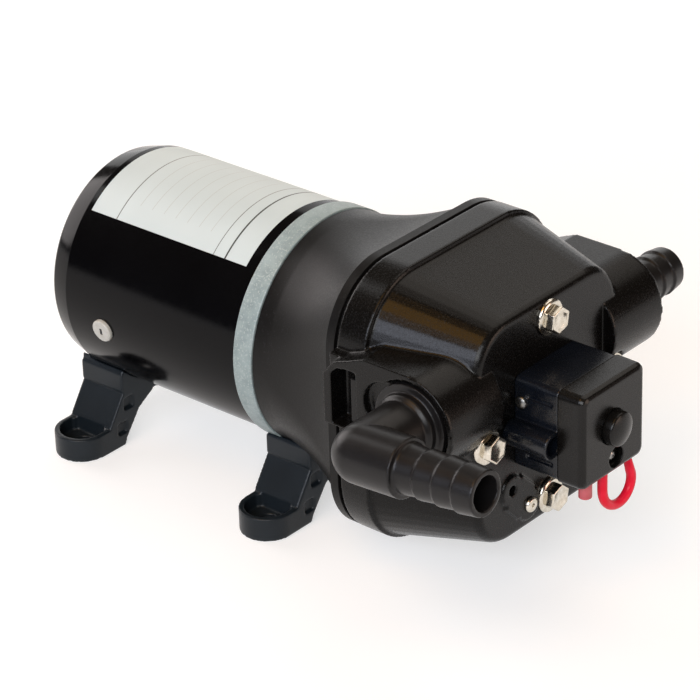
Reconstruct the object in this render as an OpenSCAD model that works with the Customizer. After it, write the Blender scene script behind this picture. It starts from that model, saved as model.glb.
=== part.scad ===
// Caravan water pump: a low voltage motor turns a tilted cam, whose wobble plate works four pistons
// Frame: origin on the mounting plane, midway between the four foot holes, +X to the pump head, +Z up

/* [Motor] */
// Outside diameter of the motor can
motor_d = 78; // [74:0.5:84]
// Length of the can from the end plate to its flat rear face
can_len = 83; // [80:1:96]
// Sheet thickness of the deep drawn can
can_wall = 2; // [1.5:0.1:2.6]
// Radius of the drawn rear edge
can_edge = 7; // [4:0.5:10]
// Depth of the rear bearing cup behind the flat rear face
cup_out = 6; // [4:0.5:8]
// Thickness of the zinc coated end plate
plate_t = 7.9; // [7.5:0.1:10]
// Radial lip of the end plate outside the can
plate_lip = 0.9; // [0.4:0.1:2]
// Depth of the spigot that centres the can on the end plate
spigot_l = 3; // [2:0.5:5]
// Shaft diameter, also the bore of the two small bearings
shaft_d = 8; // [7:0.5:9]
// Outside diameter of the two small bearings
bearing_d = 22; // [20:0.5:24]
// Width of the two small bearings
bearing_w = 7; // [5:0.5:7]
// Radial thickness of a bearing race
race_t = 2; // [1.5:0.1:2.4]
// Radial thickness of the two magnets
magnet_t = 7; // [5:0.5:8]
// Length of the two magnets
magnet_len = 38; // [30:1:44]
// Angle that each magnet spans
magnet_arc = 128; // [100:2:136]
// Length of the armature core
core_len = 32; // [26:1:34]
// Distance of the armature core from the end plate
core_set = 12; // [11:0.5:14]
// Number of armature slots
core_slots = 12; // [8:1:14]
// Overhang of the winding at each end of the core
turn_l = 7; // [5:0.5:8]
// Air gap between the armature and the magnets
air_gap = 1; // [0.6:0.1:1.6]
// Commutator diameter
commutator_d = 24; // [20:0.5:27]
// Commutator length
commutator_l = 14; // [12:0.5:16]
// Thickness of the brush plate
brush_plate_t = 6; // [5:0.5:7]
// Side of a square brush
brush_w = 6; // [4:0.5:7]
// Length of a brush
brush_l = 9; // [7:0.5:11]
// Head diameter of the two can screws
can_screw_d = 8; // [6:0.5:9]

/* [Drive] */
// Length of the drive housing from the end plate to its front face
housing_len = 41.6; // [40:0.2:48]
// Inside diameter of the drive housing
cavity_d = 73; // [72.4:0.2:74]
// Tilt of the wobble axis in degrees
tilt = 3.5; // [2:0.1:4]
// Distance of the wobble bearing from the end plate
cam_set = 14; // [13:0.5:16]
// Diameter of the tilted journal
journal_d = 15; // [14.5:0.1:16]
// Outside diameter of the wobble bearing
wobble_d = 33; // [31:0.5:34]
// Width of the wobble bearing
wobble_w = 9; // [8:0.5:10]
// Radius of the circle on which the four pistons lie
piston_pitch = 27; // [26.4:0.1:27.4]
// Piston diameter
piston_d = 16.8; // [15:0.2:17.2]
// Thickness of a piston cap
piston_t = 4; // [3:0.2:4.4]
// Thickness of the rubber diaphragm
diaphragm_t = 2.4; // [1.8:0.1:3]

/* [Pump head] */
// Width of the flange of the head
flange_w = 93.2; // [92:0.4:100]
// Height of the flange of the head
flange_h = 94.4; // [92:0.4:100]
// Corner radius of the flange
flange_r = 24.8; // [22:0.2:26]
// Thickness of the flange
flange_t = 11.6; // [9:0.2:13]
// Step from the flange in to the tapered body
flange_step = 1.5; // [0.8:0.1:2.4]
// Length of the head from the parting face to its front face
head_len = 46.4; // [45:0.2:52]
// Width of the front face
front_w = 69.8; // [66:0.2:74]
// Height of the front face
front_h = 76; // [74.4:0.2:80]
// Corner radius of the front face
front_r = 15; // [12:0.5:17]
// Clear width and height of the pocket for the valve plate
pocket_w = 83; // [81:0.2:84]
// Thickness of the valve plate
valve_t = 12; // [11.6:0.2:13]
// Depth of the four pump chambers in the valve plate
chamber_l = 8.5; // [8.2:0.1:9]
// Diameter of the four pump chambers
chamber_d = 25.6; // [25:0.2:26]
// Radius of the circle of the four head bolts
bolt_pitch = 31.3; // [31:0.1:31.8]
// Shank diameter of the head bolts
bolt_d = 5; // [4:0.2:5.4]
// Width across the flats of the head bolts
bolt_af = 8; // [7:0.2:9]

/* [Ports] */
// Distance of a port's outer face from the middle plane
port_out = 53.5; // [52:0.5:58]
// Distance of the port axis from the parting face
port_set = 34.5; // [34:0.2:36]
// Height of the port axis above the motor axis
port_lift = 13; // [12.8:0.1:13.6]
// Outside diameter of a port barrel
boss_d = 33; // [32:0.2:35]
// Diameter of the socket that takes a fitting
socket_d = 21.2; // [20:0.2:21.6]
// Depth of the socket
socket_l = 17; // [16.6:0.2:18.4]
// Diameter of the wide mouth of the socket
mouth_d = 29.2; // [28:0.2:30]
// Thickness of a slide clip
clip_t = 3; // [2.4:0.1:3.4]
// Travel of a slide clip from locked to open
clip_travel = 6; // [5:0.2:6.4]
// Width of the tail of a slide clip
clip_tail_w = 15; // [12:0.2:15.4]
// Body diameter of the two fittings
fitting_d = 19; // [17:0.2:21]
// Outside diameter of a hose tail at its barbs
tail_d = 15.8; // [14:0.2:17]
// Bore of the fittings and hose tails
tail_bore = 11; // [9:0.2:12]
// Length of a barbed hose tail
tail_l = 28.8; // [26:0.4:40]
// Length of the straight outlet tail
outlet_l = 16.8; // [14:0.4:30]
// Reach of the elbow's bend beyond the port face
elbow_out = 21; // [18:0.5:26]
// Length of the elbow's plain leg from the bend to the tail
elbow_leg = 17.4; // [12:0.2:20]
// Upward turn of the elbow at rest, in degrees
elbow_turn = 3.5; // [0:0.5:10]

/* [Pressure switch] */
// Width of the switch
switch_w = 31; // [30:0.2:33]
// Height of the switch
switch_h = 31.6; // [30:0.2:33]
// Length of the switch base
base_len = 16.4; // [16:0.2:18]
// Length of the switch cover
cover_len = 9.8; // [9.6:0.2:12]
// Wall of the switch base and cover
switch_wall = 2; // [1.6:0.1:2.2]
// Sideways offset of the switch from the middle plane
switch_y = -1.7; // [-2.4:0.1:0]
// Height of the switch above the motor axis
switch_z = 2.3; // [1:0.1:3]
// Cap diameter of the pressure adjuster
adjuster_d = 11.3; // [10.6:0.1:13.4]
// Height of the adjuster cap above the cover
adjuster_h = 4.4; // [3:0.1:6]
// Travel of the switch plunger
plunger_travel = 1.2; // [0.8:0.1:1.3]

/* [Feet] */
// Height of the motor axis above the mounting plane
axis_h = 56; // [55:0.5:62]
// Foot hole spacing along the motor
foot_pitch_x = 83.5; // [80:0.5:88]
// Foot hole spacing across the motor
foot_pitch_y = 78; // [75:0.5:84]
// Distance of the front feet in front of the end plate's rear face
foot_lead = 11.7; // [10:0.1:15]
// Width of a foot along the motor
foot_w = 18.8; // [17:0.2:20]
// Height of the rim of a foot pad
pad_h = 8.3; // [7:0.1:9]
// Thickness of the floor of a foot pad
pad_floor = 3.5; // [2.5:0.1:4]
// Diameter of a foot hole
foot_hole_d = 5.2; // [4.4:0.1:6]
// Thickness of the strap under the motor
strap_t = 3.2; // [2.6:0.1:4]

/* [Clearances] */
// Running clearance of turning and sliding fits, on the radius
run_gap = 0.05; // [0.03:0.01:0.08]
// Clearance between pieces that move past each other
free_gap = 0.3; // [0.3:0.05:0.4]
// Clearance round fixed pieces
fit_gap = 0.05; // [0.02:0.01:0.1]

/* [Hidden] */
$fn = 64;

// Stations along the motor axis, from the rear face of the end plate
plate_x = foot_pitch_x / 2 - foot_lead;
can_r = motor_d / 2;
can_in = can_r - can_wall;
plate_r = can_r + plate_lip;
// Plate screws stand just inside the spigot, and their bosses reach the wall of the drive housing
spigot_in = can_in - 2.2;
plate_head_r = 3.2;
screw_pitch = spigot_in - plate_head_r - 0.1;
screw_boss_r = cavity_d / 2 - screw_pitch + 0.4;
front_seat_r = plate_r + 0.7;
rear_x = -can_len - cup_out;
x_part = plate_t + housing_len;
rim_wall = 5;
head_w = max(flange_w, pocket_w + 2 * rim_wall);
head_h = max(flange_h, pocket_w + 2 * rim_wall);
x_step = x_part + flange_t;
x_front = x_part + head_len;
x_pivot = x_part + diaphragm_t / 2;
x_valve = x_part + diaphragm_t;
seal_t = 1;
x_seal = x_valve + valve_t;
x_gallery = x_seal + seal_t;
core_r = can_in - magnet_t - air_gap;
core_x = -core_set - core_len;
comm_x = core_x - turn_l - 1 - commutator_l;
brush_x = comm_x + commutator_l / 2;
// Places along the tilted axis, from its crossing with the motor axis
s_bear = plate_t + cam_set - x_pivot;
s_web = s_bear + wobble_w / 2 + 1.5;
web_t = 4;
arm_t = 8;
wob_race = race_t + 0.5;
screw_core = 1.5;
corners = [45, 135, 225, 315];
// Ports, from the parting face and the middle plane
port_x = x_part + port_set;
port_z = port_lift;
boss_r = boss_d / 2;
clip_in = 4;
clip_neck = socket_d / 2 - 2.2;
fork_w = socket_d + 5.8;
fork_back = 12;
fork_front = 8;
tab_x = x_part + 4 + clip_travel + 0.5;
tab_l = 3;
flange_fit = mouth_d / 2 - 1.2;
// Pressure switch, from the front face of the head
x_cover = x_front + base_len;
x_end = x_cover + cover_len;
dome_h = 1.3;
dome_r = (pow(adjuster_d / 2, 2) + pow(dome_h, 2)) / (2 * dome_h);
adj_y = switch_y - 0.4;
adj_z = switch_z + 0.5;
boss_y = switch_y - switch_w / 2 - 2;
boss_z = switch_z - 2.3;
wall_x = x_front + 5;
membrane_t = 1;
membrane_r = switch_w / 2 - switch_wall - 2.5 - abs(switch_y - adj_y) - 0.15;
spring_r = adjuster_d / 2 - 2.6;
micro_z = switch_z - switch_h / 2 + switch_wall + 0.8;
micro_h = 5.5;
micro_x = wall_x + 8.5;
micro_end = x_end - switch_wall - 0.3;
term_x = x_end - 3.9;
lead_r = 1.6;
sleeve_r = 2.15;
micro_y = switch_y - switch_w / 2 + 4.7;
sleeve_y = switch_y - switch_w / 2 + 6.2;
term_z = micro_z - 2.2;
sleeve_z = -19.3;
bottom_z = switch_z - switch_h / 2;
// Link lead: a wide near bend, a tighter far bend and a far limb that leans back to the cover
lead_a = switch_y - 0.5;
loop_z = -29.4;
near_bend = 8.6;
far_bend = 6.4;
lead_lean = 24.6;
loop_y = lead_a + near_bend;
entry_z = bottom_z - 1.2;
limb_z = loop_z + far_bend * (1 + sin(lead_lean));
limb_l = (entry_z - limb_z) / cos(lead_lean);
lead_b = loop_y + far_bend * cos(lead_lean) - limb_l * sin(lead_lean);

// Helpers

module at_axis() { translate([plate_x, 0, axis_h]) children(); }

module rod_x(x0, x1, r) { translate([x0, 0, 0]) rotate([0, 90, 0]) cylinder(h = x1 - x0, r = r); }

module tube_x(x0, x1, ro, ri) {
  difference() {
    rod_x(x0, x1, ro);
    rod_x(x0 - 1, x1 + 1, ri);
  }
}

module round_rect(a, b, r) {
  square([a, b - 2 * r], center = true);
  square([a - 2 * r, b], center = true);
  for (i = [-1, 1], j = [-1, 1]) translate([i * (a / 2 - r), j * (b / 2 - r)]) circle(r);
}

module block_x(x0, x1, w, h, r) {
  translate([x0, 0, 0]) rotate([0, 90, 0]) linear_extrude(x1 - x0) round_rect(h, w, r);
}

module revolve_x() { rotate([0, 90, 0]) rotate_extrude() children(); }

module tilted() { translate([x_pivot, 0, 0]) rotate([0, tilt, 0]) children(); }

module on_pitch(a, r) { translate([0, r * cos(a), r * sin(a)]) children(); }

module balls(x, r, br, n) {
  for (i = [0 : n - 1]) translate([x, 0, 0]) rotate([360 / n * i, 0, 0]) translate([0, 0, r]) sphere(br);
}

// Tube through rings of points, closed at both ends
module swept(rings) {
  n = len(rings) - 1;
  sides = len(rings[0]);
  skin = [for (i = [0 : n - 1], k = [0 : sides - 1], t = [0, 1])
    let (a = i * sides + k, b = i * sides + (k + 1) % sides)
    t == 0 ? [a, a + sides, b] : [b, a + sides, b + sides]];
  caps = [for (k = [1 : sides - 2]) each [[0, k, k + 1], [n * sides, n * sides + k + 1, n * sides + k]]];
  polyhedron(points = [for (ring = rings) each ring], faces = concat(skin, caps), convexity = 6);
}

// Round wire coil along +Z
function coil_at(r, len, turns, u) = [r * cos(360 * turns * u), r * sin(360 * turns * u), len * u];
function coil_ring(r, len, turns, wire, u, sides) =
  let (a = 360 * turns * u, p = coil_at(r, len, turns, u))
  [for (k = [0 : sides - 1]) let (b = 360 * k / sides)
    p + wire * [cos(b) * cos(a), cos(b) * sin(a), sin(b)]];

module coil(r, len, turns, wire, per = 12, sides = 6) {
  n = turns * per;
  swept([for (i = [0 : n]) coil_ring(r, len, turns, wire, i / n, sides)]);
  echo(str("coil gap ", len / turns - 2 * wire));
}

// Motor

module motor_can() {
  color([0.04, 0.04, 0.045]) at_axis() difference() {
    union() {
      revolve_x() difference() {
        union() {
          translate([0, -can_len]) square([can_r - can_edge, can_len]);
          translate([0, -can_len + can_edge]) square([can_r, can_len - can_edge]);
          translate([can_r - can_edge, -can_len + can_edge]) circle(can_edge);
        }
        translate([-can_r, -can_len - 1]) square([can_r, can_len + 2]);
      }
      rod_x(rear_x, -can_len + 1, bearing_d / 2 + can_wall);
    }
    revolve_x() difference() {
      union() {
        translate([0, -can_len + can_wall]) square([can_r - can_edge, can_len]);
        translate([0, -can_len + can_edge]) square([can_in, can_len]);
        translate([can_r - can_edge, -can_len + can_edge]) circle(can_edge - can_wall);
      }
      translate([-can_r, -can_len - 1]) square([can_r, can_len * 2]);
    }
    rod_x(rear_x + can_wall, -can_len + can_wall + 1, bearing_d / 2 + fit_gap);
    for (a = [10, 190]) translate([brush_x, 0, 0]) rotate([a - 90, 0, 0]) cylinder(h = can_r + 5, r = 2);
    translate([foot_lead - foot_pitch_x, 0, -can_r - 1]) cylinder(h = can_wall + 2, r = screw_core + fit_gap);
  }
}

module can_screws() {
  color([0.86, 0.85, 0.8]) at_axis() for (a = [10, 190]) translate([brush_x, 0, 0]) rotate([a - 90, 0, 0])
    difference() {
      union() {
        translate([0, 0, can_in - 7]) cylinder(h = 7 + can_wall, r = 1.8);
        translate([0, 0, can_r - 0.5]) cylinder(h = 1.1, r = can_screw_d / 2);
        translate([0, 0, can_r + 0.6]) cylinder(h = 0.6, r1 = can_screw_d / 2, r2 = can_screw_d / 2 - 0.7);
      }
      difference() {
        translate([0, 0, can_r - 1]) cylinder(h = 1, r = can_screw_d);
        translate([-can_screw_d, 0, 0]) rotate([0, 90, 0]) cylinder(h = 2 * can_screw_d, r = can_r - 2);
        translate([0, 0, can_r - 2]) cylinder(h = 3, r = 1.8);
        translate([0, 0, can_r - 0.02]) cylinder(h = 2, r = can_screw_d);
      }
      translate([0, 0, can_r + 0.4]) cylinder(h = 2, r = 1.3);
    }
}

module small_bearing(x) {
  tube_x(x, x + bearing_w, bearing_d / 2, bearing_d / 2 - race_t);
  balls(x + bearing_w / 2, (bearing_d + shaft_d) / 4, (bearing_d - shaft_d) / 4 - race_t - run_gap, 7);
}

module rear_bearing() { color([0.7, 0.7, 0.72]) at_axis() small_bearing(rear_x + can_wall); }

module front_bearing() { color([0.7, 0.7, 0.72]) at_axis() small_bearing(plate_t - bearing_w); }

module inner_races() {
  color([0.75, 0.75, 0.77]) at_axis() {
    for (x = [rear_x + can_wall, plate_t - bearing_w])
      tube_x(x + 0.2, x + bearing_w - 0.2, shaft_d / 2 + race_t, shaft_d / 2);
    tilted() tube_x(s_bear - wobble_w / 2, s_bear + wobble_w / 2, journal_d / 2 + wob_race, journal_d / 2);
  }
}

module magnets() {
  color([0.22, 0.22, 0.23]) at_axis() for (a = [0, 180]) rotate([a, 0, 0])
    translate([core_x + core_len / 2 - magnet_len / 2, 0, 0]) rotate([0, 90, 0])
      rotate([0, 0, 180 - magnet_arc / 2]) rotate_extrude(angle = magnet_arc)
        translate([can_in - magnet_t, 0]) square([magnet_t - fit_gap, magnet_len]);
}

module brush_plate() {
  color([0.36, 0.24, 0.14]) at_axis() difference() {
    union() {
      tube_x(brush_x - brush_plate_t / 2, brush_x + brush_plate_t / 2, can_in - fit_gap,
        commutator_d / 2 + 3.5);
      for (a = [0, 180]) rotate([a, 0, 0])
        translate([brush_x - brush_w / 2 - 1.5, -brush_w / 2 - 1.5, commutator_d / 2 + 3])
          cube([brush_w + 3, brush_w + 3, brush_l + 7]);
    }
    for (a = [0, 180]) rotate([a, 0, 0])
      translate([brush_x - brush_w / 2 - 0.1, -brush_w / 2 - 0.1, commutator_d / 2])
        cube([brush_w + 0.2, brush_w + 0.2, brush_l + 9]);
    for (a = [10, 190]) translate([brush_x, 0, 0]) rotate([a - 90, 0, 0])
      translate([0, 0, can_in - 8]) cylinder(h = 10, r = 1.8 + fit_gap);
  }
}

module brushes() {
  color([0.1, 0.1, 0.11]) at_axis() for (a = [0, 180]) rotate([a, 0, 0])
    translate([brush_x - brush_w / 2, -brush_w / 2, 0]) difference() {
      translate([0, 0, commutator_d / 2 - 1]) cube([brush_w, brush_w, brush_l + 1]);
      translate([-1, brush_w / 2, 0]) rotate([0, 90, 0])
        cylinder(h = brush_w + 2, r = commutator_d / 2 + free_gap);
    }
}

module brush_springs() {
  color([0.72, 0.6, 0.3]) at_axis() for (a = [0, 180]) rotate([a, 0, 0])
    translate([brush_x, 0, commutator_d / 2 + brush_l + 0.5]) coil(brush_w / 2 - 0.9, 6, 4, 0.4);
}

module end_plate() {
  color([0.74, 0.76, 0.72]) at_axis() difference() {
    union() {
      rod_x(0, plate_t, plate_r);
      tube_x(-spigot_l, 0.5, can_in - fit_gap, spigot_in);
    }
    rod_x(plate_t - bearing_w, plate_t + 1, bearing_d / 2 + fit_gap);
    rod_x(-1, plate_t, bearing_d / 2 - race_t - 0.5);
    for (a = corners) on_pitch(a, screw_pitch) rod_x(-1, plate_t + 1, screw_core + 0.6);
  }
}

module plate_screws() {
  color([0.7, 0.71, 0.72]) at_axis() for (a = corners) on_pitch(a, screw_pitch) {
    rod_x(-2.4, 0, plate_head_r);
    rod_x(-0.5, plate_t + 8, screw_core + 0.5);
  }
}

module shaft() {
  color([0.78, 0.78, 0.8]) at_axis()
    rod_x(rear_x + can_wall + 0.6, x_pivot + s_bear + wobble_w / 2 - 0.5, shaft_d / 2);
}

module armature_core() {
  color([0.45, 0.45, 0.47]) at_axis() translate([core_x, 0, 0]) rotate([0, 90, 0]) linear_extrude(core_len)
    difference() {
      circle(core_r);
      circle(shaft_d / 2);
      for (i = [0 : core_slots - 1]) rotate(360 / core_slots * i) {
        translate([core_r - 6, 0]) circle(2.6);
        translate([core_r - 6, -1]) square([8, 2]);
      }
    }
}

module windings() {
  color([0.62, 0.3, 0.12]) at_axis() for (x = [core_x - turn_l, core_x + core_len])
    translate([x, 0, 0]) revolve_x() {
      translate([shaft_d / 2, 1.5]) square([core_r - 3 - shaft_d / 2, turn_l - 3]);
      translate([shaft_d / 2, 0]) square([core_r - 4.5 - shaft_d / 2, turn_l]);
      for (y = [1.5, turn_l - 1.5]) translate([core_r - 4.5, y]) circle(1.5);
    }
}

module commutator() {
  color([0.72, 0.42, 0.2]) at_axis() difference() {
    tube_x(comm_x, comm_x + commutator_l, commutator_d / 2, shaft_d / 2);
    for (i = [0 : core_slots - 1]) rotate([360 / core_slots * i, 0, 0])
      translate([comm_x - 1, -0.3, commutator_d / 2 - 2]) cube([commutator_l - 1, 0.6, 4]);
  }
}

// Wobble drive

module cam() {
  color([0.6, 0.61, 0.63]) at_axis() difference() {
    union() {
      rod_x(plate_t + 1.6, plate_t + cam_set - wobble_w / 2 - 0.6, journal_d / 2 + 1.5);
      tilted() rod_x(s_bear - wobble_w / 2 - 1.4, s_bear - wobble_w / 2, journal_d / 2 + 1.5);
      tilted() rod_x(s_bear - wobble_w / 2 - 1, s_bear + wobble_w / 2, journal_d / 2);
    }
    rod_x(plate_t, x_pivot, shaft_d / 2);
  }
}

module wobble_bearing() {
  color([0.7, 0.7, 0.72]) at_axis() tilted() {
    tube_x(s_bear - wobble_w / 2, s_bear + wobble_w / 2, wobble_d / 2, wobble_d / 2 - wob_race);
    balls(s_bear, (wobble_d + journal_d) / 4, (wobble_d - journal_d) / 4 - wob_race - run_gap, 9);
  }
}

module wobble_plate() {
  color([0.3, 0.31, 0.33]) at_axis() tilted() difference() {
    union() {
      rod_x(s_bear - wobble_w / 2, s_web + web_t, wobble_d / 2 + 4);
      for (a = corners) {
        rotate([a, 0, 0]) translate([s_web, 0, -5.5]) cube([arm_t, piston_pitch, 11]);
        on_pitch(a, piston_pitch) {
          rod_x(s_web, -diaphragm_t / 2, 6.5);
          rod_x(-diaphragm_t / 2 - 3, -diaphragm_t / 2, piston_d / 2);
        }
      }
    }
    rod_x(s_bear - wobble_w / 2 - 1, s_bear + wobble_w / 2, wobble_d / 2);
    rod_x(s_bear, s_web, wobble_d / 2 - wob_race);
    for (a = corners) on_pitch(a, piston_pitch) rod_x(-diaphragm_t / 2 - 11, 1, screw_core + fit_gap);
  }
}

module pistons() {
  color([0.85, 0.84, 0.8]) at_axis() tilted() for (a = corners) on_pitch(a, piston_pitch) difference() {
    union() {
      rod_x(diaphragm_t / 2, diaphragm_t / 2 + piston_t - 1, piston_d / 2);
      translate([diaphragm_t / 2 + piston_t - 1, 0, 0]) rotate([0, 90, 0])
        cylinder(h = 1, r1 = piston_d / 2, r2 = piston_d / 2 - 1);
    }
    rod_x(0, 9, screw_core + fit_gap);
    rod_x(diaphragm_t / 2 + piston_t - 2.2, 9, 3.4);
  }
}

module piston_screws() {
  color([0.7, 0.71, 0.72]) at_axis() tilted() for (a = corners) on_pitch(a, piston_pitch) {
    rod_x(-diaphragm_t / 2 - 10, diaphragm_t / 2 + piston_t - 2, screw_core);
    rod_x(diaphragm_t / 2 + piston_t - 2.2, diaphragm_t / 2 + piston_t - 0.4, 3.2);
  }
}

module diaphragm() {
  color([0.1, 0.1, 0.1]) at_axis() difference() {
    union() {
      difference() {
        block_x(x_part, x_valve, pocket_w - 0.4, pocket_w - 0.4, flange_r - 5);
        for (a = corners) on_pitch(a, piston_pitch) rod_x(x_part - 1, x_valve + 1, chamber_d / 2 - 0.6);
      }
      for (a = corners) on_pitch(a, piston_pitch) {
        tube_x(x_pivot - 0.5, x_pivot + 0.5, chamber_d / 2, piston_d / 2 + 0.9);
        tube_x(x_pivot - 3.2, x_pivot + 3.2, piston_d / 2 + 1.4, piston_d / 2 + 0.4);
      }
      tilted() for (a = corners) on_pitch(a, piston_pitch)
        rod_x(-diaphragm_t / 2, diaphragm_t / 2, piston_d / 2 + 0.9);
    }
    tilted() for (a = corners) on_pitch(a, piston_pitch) rod_x(-9, 9, screw_core + fit_gap);
    for (a = [0, 90, 180, 270]) on_pitch(a, bolt_pitch) rod_x(x_part - 1, x_valve + 1, bolt_d / 2 + 0.2);
  }
}

module drive_housing() {
  color([0.13, 0.125, 0.12]) at_axis() difference() {
    union() {
      rod_x(plate_t, plate_t + 7, plate_r - 0.4);
      hull() {
        translate([plate_t + 7, 0, 0]) rod_x(-0.01, 0, plate_r - 0.4, $fn = 72);
        block_x(plate_t + 20, plate_t + 20.01, plate_r * 2 + 1.6, plate_r * 2 + 1.8, plate_r - 6, $fn = 72);
      }
      hull() {
        block_x(plate_t + 19.99, plate_t + 20, plate_r * 2 + 1.6, plate_r * 2 + 1.8, plate_r - 6, $fn = 72);
        block_x(x_part - 12, x_part - 11.99, head_w - 8.6, head_h - 8.8, flange_r + 4, $fn = 72);
      }
      hull() {
        block_x(x_part - 12.01, x_part - 12, head_w - 8.6, head_h - 8.8, flange_r + 4, $fn = 72);
        block_x(x_part - 4.6, x_part - 4.59, head_w - 3.8, head_h - 3.8, flange_r, $fn = 72);
      }
      block_x(x_part - 4.6, x_part - 0.5, head_w - 0.2, head_h - 0.2, flange_r);
      block_x(x_part - 0.5, x_part, head_w - 2.2, head_h - 2.2, flange_r - 1);
    }
    difference() {
      union() {
        rod_x(plate_t - 1, x_part + 1, cavity_d / 2);
        for (a = corners) on_pitch(a, piston_pitch) rod_x(x_part - 7, x_part + 1, chamber_d / 2);
      }
      for (a = [0, 90, 180, 270]) on_pitch(a, bolt_pitch)
        rod_x(x_part - 14, x_part + 1, cavity_d / 2 - bolt_pitch + 0.4);
      for (a = corners) on_pitch(a, screw_pitch) rod_x(plate_t - 1, plate_t + 9, screw_boss_r);
    }
    for (a = [0, 90, 180, 270]) on_pitch(a, bolt_pitch) rod_x(x_part - 11, x_part + 1, bolt_d / 2 + fit_gap);
    for (a = corners) on_pitch(a, screw_pitch) rod_x(plate_t - 1, plate_t + 8.2, screw_core + 0.55);
    translate([foot_lead, 0, -plate_r - 2]) cylinder(h = 4.6, r = screw_core + fit_gap);
    // seat for the front foot
    intersection() {
      tube_x(foot_lead - foot_w / 2 - free_gap, foot_lead + foot_w / 2 + free_gap, 2 * plate_r,
        front_seat_r - fit_gap);
      translate([0, -29, -2 * plate_r]) cube([x_part, 58, 2 * plate_r - 27]);
    }
  }
}

// Valves

module valve_plate() {
  color([0.8, 0.79, 0.74]) at_axis() difference() {
    block_x(x_valve, x_seal, pocket_w - 0.4, pocket_w - 0.4, flange_r - 5);
    for (a = corners) {
      on_pitch(a, piston_pitch) rod_x(x_valve - 1, x_valve + chamber_l, chamber_d / 2);
      on_pitch(a, piston_pitch + 4) {
        rod_x(x_valve, x_seal + 1, 1.2 + fit_gap);
        for (b = [0, 90, 180, 270]) on_pitch(b, 3.4) rod_x(x_valve, x_seal + 1, 1.3);
      }
      for (b = [-7, 7]) on_pitch(a + b, piston_pitch - 10.4) rod_x(x_valve, x_seal + 1, 1.5);
    }
    rod_x(x_valve - 1, x_seal + 1, 2 + fit_gap);
    for (a = [0, 90, 180, 270]) on_pitch(a, bolt_pitch) rod_x(x_valve - 1, x_seal + 1, bolt_d / 2 + 0.2);
  }
}

module inlet_valves() {
  color([0.12, 0.12, 0.12]) at_axis() for (a = corners) on_pitch(a, piston_pitch + 4) {
    rod_x(x_valve + chamber_l - 1, x_valve + chamber_l, 5.6);
    rod_x(x_valve + chamber_l - 0.5, x_seal + 0.2, 1.2);
    translate([x_seal, 0, 0]) rotate([0, 90, 0]) cylinder(h = 1.6, r1 = 1.7, r2 = 0.8);
  }
}

module outlet_valve() {
  color([0.12, 0.12, 0.12]) at_axis() {
    rod_x(x_seal, x_seal + 1.3, 19.5);
    rod_x(x_valve + 2, x_seal + 1, 2);
    translate([x_valve + 2 - 1.4, 0, 0]) rotate([0, 90, 0]) cylinder(h = 1.4, r1 = 1, r2 = 2);
  }
}

module head_seal() {
  color([0.1, 0.1, 0.1]) at_axis() {
    difference() {
      block_x(x_seal, x_gallery, pocket_w - 0.4, pocket_w - 0.4, flange_r - 5);
      block_x(x_seal - 1, x_gallery + 1, pocket_w - 6.4, pocket_w - 6.4, flange_r - 8);
    }
    tube_x(x_seal, x_gallery, 23.8, 21.5);
  }
}

// Pump head

module port_cut(d0, d1, r) {
  at_port() translate([0, 0, port_out - d1]) cylinder(h = d1 - d0, r = r);
}

module port_slab(d0, d1) {
  rotate([90, 0, 0]) translate([0, 0, port_out - d1]) linear_extrude(d1 - d0) children();
}

module block_outline() {
  translate([port_x, port_z]) circle(boss_r);
  polygon([[x_part + 0.7, port_z - 10], [x_part + 0.7, port_z + 6.8], [x_part + 5, port_z + 12],
    [x_part + 10.5, port_z + 14], [x_part + 16.5, port_z + boss_r], [port_x, port_z + boss_r],
    [port_x, port_z - boss_r], [x_part + 15, port_z - boss_r], [x_part + 12.4, port_z - 10]]);
}

module clip_slot() {
  x0 = tab_x - clip_travel - 0.5;
  x1 = tab_x + tab_l + 0.4;
  low = port_z - clip_tail_w / 2 - free_gap;
  top = port_z + clip_tail_w / 2 + free_gap;
  port_slab(-1, clip_in + clip_t + free_gap)
    polygon([[x0, low - 1.6], [x0, top], [x0 + 2.4, top + 2.2], [x0 + 5, top + 2.8], [x1, top + 2.8],
      [x1, low - 1.6]]);
  port_slab(clip_in - free_gap, clip_in + clip_t + free_gap) {
    translate([tab_x - clip_travel - 0.5, port_z - clip_tail_w / 2 - free_gap])
      square([port_x - tab_x, clip_tail_w + 2 * free_gap]);
    translate([port_x - fork_back - clip_travel - 0.4, port_z - fork_w / 2 - free_gap])
      square([fork_back + fork_front + clip_travel + 0.8, fork_w + 2 * free_gap]);
  }
}

module port_side() {
  port_cut(0, port_out - 28, boss_r);
  at_port() translate([0, 0, 25]) cylinder(h = 9, r1 = boss_r - 6.5, r2 = boss_r);
  port_slab(0, port_out - 36) block_outline();
  port_slab(3.4, port_out - 36) translate([x_part + 0.7, port_z - 10]) square([12, 22.5]);
}

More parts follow.
